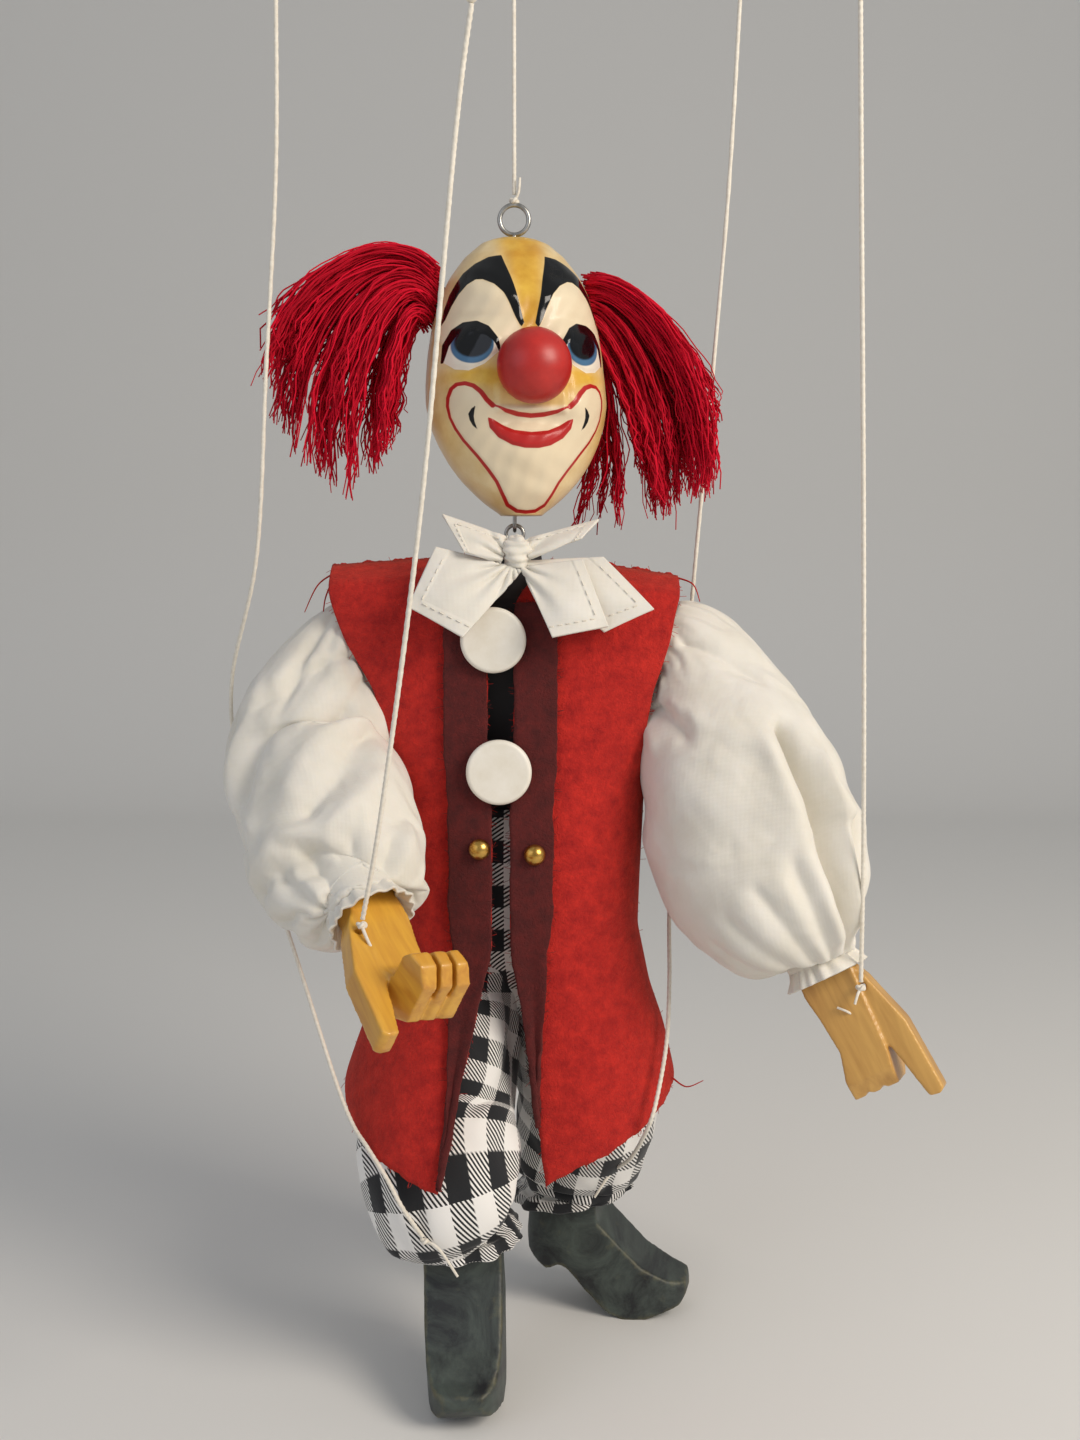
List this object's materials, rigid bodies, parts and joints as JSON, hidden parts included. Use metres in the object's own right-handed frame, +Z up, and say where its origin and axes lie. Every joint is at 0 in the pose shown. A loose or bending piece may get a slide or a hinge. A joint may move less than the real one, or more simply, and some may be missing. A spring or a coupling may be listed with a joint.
{
  "type": "clown marionette",
  "caption": "String marionette of a clown with a carved painted head, felt vest, puffed cotton sleeves, gingham trousers, carved hands and boots, jointed by linked screw eyes.",
  "frame": {"origin": "centre of the loop that ends the head string, by which the figure hangs", "axes": "+Z up along the head string, -Y the way the figure faces, +X the figure's own left"},
  "size_m": [0.2017, 0.147, 0.3986],
  "materials": {
    "painted_face": "satin painted",
    "red_paint": "satin painted",
    "steel_wire": "plated wire",
    "crimson_yarn": "wool yarn",
    "cotton_string": "laid cotton",
    "trunk_wood": "stained dark",
    "red_felt": "felt, raw edges",
    "maroon_felt": "felt, raw edges",
    "white_cotton": "plain weave",
    "white_plastic": "matte",
    "brass_stud": "polished dome",
    "gingham_cotton": "woven checks",
    "varnished_wood": "clear varnish",
    "boot_paint": "worn matte paint"
  },
  "bodies": {
    "head": {"head": "painted_face", "nose_ball": "red_paint", "crown_eye": "steel_wire", "chin_staple": "steel_wire", "right_hair": "crimson_yarn", "left_hair": "crimson_yarn", "head_string": "cotton_string", "head_knot": "cotton_string", "head_loop": "cotton_string"},
    "torso": {"trunk": "trunk_wood", "neck_eye": "steel_wire", "shoulder_eyes": "steel_wire", "hip_eyes": "steel_wire", "vest_back": "red_felt", "right_vest_front": "red_felt", "left_vest_front": "red_felt", "right_lapel": "maroon_felt", "left_lapel": "maroon_felt", "bow_tie": "white_cotton", "upper_button": "white_plastic", "lower_button": "white_plastic", "brass_studs": "brass_stud", "trouser_seat": "gingham_cotton"},
    "right_upper_arm": {"right_upper_arm": "varnished_wood", "right_upper_arm_eyes": "steel_wire", "right_sleeve": "white_cotton"},
    "right_forearm": {"right_hand": "varnished_wood", "right_forearm_eye": "steel_wire", "right_hand_knot": "cotton_string"},
    "right_hand_string": {"right_hand_string": "cotton_string", "right_hand_loop": "cotton_string"},
    "right_thigh": {"right_thigh": "varnished_wood", "right_thigh_eyes": "steel_wire", "right_trouser_leg": "gingham_cotton", "right_knee_knot": "cotton_string"},
    "right_lower_leg": {"right_boot": "boot_paint", "right_boot_eye": "steel_wire"},
    "right_knee_string": {"right_knee_string": "cotton_string", "right_knee_loop": "cotton_string"},
    "left_upper_arm": {"left_upper_arm": "varnished_wood", "left_upper_arm_eyes": "steel_wire", "left_sleeve": "white_cotton"},
    "left_forearm": {"left_hand": "varnished_wood", "left_forearm_eye": "steel_wire", "left_hand_knot": "cotton_string"},
    "left_hand_string": {"left_hand_string": "cotton_string", "left_hand_loop": "cotton_string"},
    "left_thigh": {"left_thigh": "varnished_wood", "left_thigh_eyes": "steel_wire", "left_trouser_leg": "gingham_cotton", "left_knee_knot": "cotton_string"},
    "left_lower_leg": {"left_boot": "boot_paint", "left_boot_eye": "steel_wire"},
    "left_knee_string": {"left_knee_string": "cotton_string", "left_knee_loop": "cotton_string"}
  },
  "joints": [
    {"name": "neck_nod", "type": "hinge", "parent": "head", "child": "torso", "pos_m": [0, 0, -0.1512], "axis": [1, 0, 0], "range_deg": [-15, 20]},
    {"name": "right_shoulder_swing", "type": "hinge", "parent": "torso", "child": "right_upper_arm", "pos_m": [-0.03615, 0, -0.17635], "axis": [-1, 0, 0], "range_deg": [-5, 30], "deforming": ["right_sleeve", "right_vest_front", "vest_back"]},
    {"name": "right_elbow_bend", "type": "hinge", "parent": "right_upper_arm", "child": "right_forearm", "pos_m": [-0.06409, -0.01135, -0.21871], "axis": [-0.4875, -0.7078, 0.5112], "range_deg": [-5, 30], "deforming": ["right_sleeve"]},
    {"name": "right_hand_string_swing", "type": "hinge", "parent": "right_forearm", "child": "right_hand_string", "pos_m": [-0.03735, -0.06746, -0.25193], "axis": [-1, 0, 0], "range_deg": [-60, 10], "deforming": ["right_hand_string"]},
    {"name": "right_hip_swing", "type": "hinge", "parent": "torso", "child": "right_thigh", "pos_m": [-0.015, 0, -0.2715], "axis": [-1, 0, 0], "range_deg": [-25, 35], "deforming": ["right_trouser_leg", "trouser_seat", "right_vest_front", "right_lapel", "vest_back"]},
    {"name": "right_knee_bend", "type": "hinge", "parent": "right_thigh", "child": "right_lower_leg", "pos_m": [-0.015, -0.03178, -0.33387], "axis": [-1, 0, 0], "range_deg": [-30, 25], "deforming": ["right_trouser_leg"]},
    {"name": "right_knee_string_swing", "type": "hinge", "parent": "right_thigh", "child": "right_knee_string", "pos_m": [-0.0234, -0.05088, -0.34187], "axis": [-1, 0, 0], "range_deg": [-35, 25], "deforming": ["right_knee_string"]},
    {"name": "left_shoulder_swing", "type": "hinge", "parent": "torso", "child": "left_upper_arm", "pos_m": [0.03615, 0, -0.17635], "axis": [-1, 0, 0], "range_deg": [-10, 50], "deforming": ["left_sleeve", "left_vest_front", "vest_back"]},
    {"name": "left_elbow_bend", "type": "hinge", "parent": "left_upper_arm", "child": "left_forearm", "pos_m": [0.06056, -0.00955, -0.22126], "axis": [-0.7808, 0.3703, -0.5032], "range_deg": [-10, 50], "deforming": ["left_sleeve"]},
    {"name": "left_hand_string_swing", "type": "hinge", "parent": "left_forearm", "child": "left_hand_string", "pos_m": [0.09453, -0.03641, -0.27686], "axis": [-1, 0, 0], "range_deg": [-100, 20], "deforming": ["left_hand_string"]},
    {"name": "left_hip_swing", "type": "hinge", "parent": "torso", "child": "left_thigh", "pos_m": [0.015, 0, -0.2715], "axis": [-1, 0, 0], "range_deg": [-10, 50], "deforming": ["left_trouser_leg", "trouser_seat", "left_vest_front", "left_lapel", "vest_back"]},
    {"name": "left_knee_bend", "type": "hinge", "parent": "left_thigh", "child": "left_lower_leg", "pos_m": [0.01561, 0.01575, -0.3397], "axis": [-0.766, -0.6248, -0.1511], "range_deg": [-25, 10], "deforming": ["left_trouser_leg"]},
    {"name": "left_knee_string_swing", "type": "hinge", "parent": "left_thigh", "child": "left_knee_string", "pos_m": [0.02941, -0.00225, -0.3422], "axis": [-1, 0, 0], "range_deg": [-50, 10], "deforming": ["left_knee_string"]}
  ],
  "couplings": [
    {"joint": "right_elbow_bend", "follows": "right_shoulder_swing", "ratio": 1},
    {"joint": "right_hand_string_swing", "follows": "right_shoulder_swing", "ratio": -2},
    {"joint": "right_knee_string_swing", "follows": "right_hip_swing", "ratio": -1},
    {"joint": "left_elbow_bend", "follows": "left_shoulder_swing", "ratio": 1},
    {"joint": "left_hand_string_swing", "follows": "left_shoulder_swing", "ratio": -2},
    {"joint": "left_knee_string_swing", "follows": "left_hip_swing", "ratio": -1}
  ]
}
